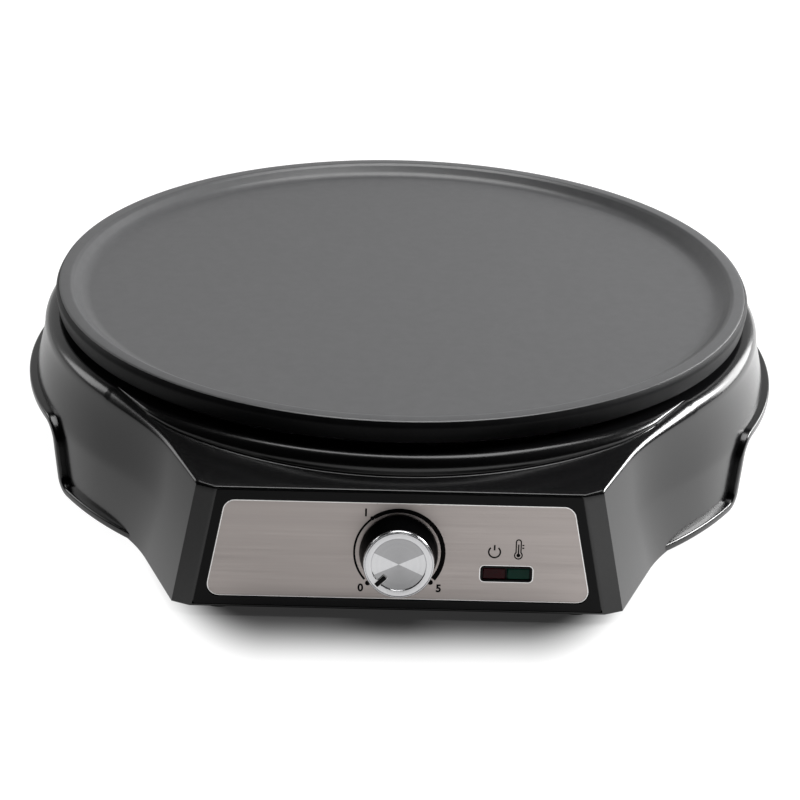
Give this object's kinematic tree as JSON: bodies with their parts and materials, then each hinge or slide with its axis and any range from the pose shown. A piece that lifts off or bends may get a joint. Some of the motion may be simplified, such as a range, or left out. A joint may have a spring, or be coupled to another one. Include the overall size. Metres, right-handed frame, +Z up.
{
  "type": "electric crepe maker",
  "caption": "Round electric griddle plate with a raised rim on a black moulded drum, with hand grips and a sloping front panel that holds a dial and lamps.",
  "frame": {"origin": "bottom centre of the whole appliance, on the table under its feet", "axes": "+Z up, the control panel faces -Y, +X is to the right of someone who faces the panel"},
  "size_m": [0.342, 0.3626, 0.076],
  "materials": {
    "plate_coating": "non-stick coating on cast aluminium, fine satin with a slight grain",
    "element_sheath": "dull heat-stained steel tube",
    "steel": "zinc-plated steel",
    "ceramic": null,
    "aluminised_steel": "thin bright pressed sheet",
    "housing_gloss": "glossy black moulded plastic",
    "base_black": "fine textured black plastic",
    "foot_rubber": "matt black rubber",
    "bezel_satin": "satin black moulded plastic",
    "fascia_steel": "brushed stainless sheet, warm grey",
    "print_black": "black screen print on the fascia",
    "knob_black": "satin black plastic",
    "knob_metal": "spun and polished aluminium",
    "pointer_black": "black filled inlay",
    "brass": "turned brass",
    "contact_bronze": "phosphor bronze strip",
    "bimetal": "rolled two-metal strip",
    "lens_red": "dark red transparent plastic, unlit",
    "lens_green": "dark green transparent plastic, unlit",
    "lamp_glass": "clear neon lamp glass",
    "resistor_body": "lacquered resistor body",
    "gland_black": "black nylon",
    "wire_blue": "plastic insulated wire",
    "wire_sleeve": "woven glass sleeve over the heater wires"
  },
  "bodies": {
    "appliance": {"griddle_plate": "plate_coating", "heating_element": "element_sheath", "element_terminals": "steel", "element_insulators": "ceramic", "element_clips": "steel", "clip_screws": "steel", "heat_shield": "aluminised_steel", "plate_spacers": "ceramic", "plate_screws": "steel", "thermal_fuse": "steel", "upper_housing": "housing_gloss", "base_pan": "base_black", "base_screws": "steel", "rubber_feet": "foot_rubber", "foot_screws": "steel", "front_bezel": "bezel_satin", "fascia_plate": "fascia_steel", "bezel_screws": "steel", "spindle_bush": "brass", "bush_washer": "steel", "bush_nut": "steel", "thermostat_frame": "steel", "ceramic_stack": "ceramic", "fixed_contact": "contact_bronze", "bimetal_strip": "bimetal", "thermostat_terminals": "steel", "lamp_holder": "bezel_satin", "red_lens": "lens_red", "green_lens": "lens_green", "neon_lamps": "lamp_glass", "lamp_resistors": "resistor_body", "terminal_block": "ceramic", "terminal_screws": "steel", "cord_gland": "gland_black", "gland_nut": "gland_black", "earth_tag": "steel", "earth_screw": "steel", "supply_wires": "wire_blue", "heater_wires": "wire_sleeve"},
    "dial": {"knob_body": "knob_black", "knob_cap": "knob_metal", "knob_pointer": "pointer_black", "knob_spring_clip": "steel", "thermostat_spindle": "steel"},
    "adjuster": {"push_pin": "ceramic"},
    "contact": {"contact_arm": "contact_bronze"}
  },
  "joints": [
    {"name": "dial_turn", "type": "hinge", "parent": "appliance", "child": "dial", "pos_m": [0, -0.16649, 0.0279], "axis": [0, 0.9877, -0.1564], "range_deg": [0, 270]},
    {"name": "pin_slide", "type": "slide", "parent": "appliance", "child": "adjuster", "axis": [0, 0.9877, -0.1564], "range_m": [0, 0.0012]},
    {"name": "contact_tilt", "type": "hinge", "parent": "appliance", "child": "contact", "pos_m": [-0.0164, -0.13711, 0.02325], "axis": [0, 0.1564, 0.9877], "range_deg": [0, 4.18]}
  ],
  "couplings": [
    {"joint": "pin_slide", "follows": "dial_turn", "m_per_rad": 0.00025464},
    {"joint": "contact_tilt", "follows": "dial_turn", "ratio": 0.015499}
  ]
}
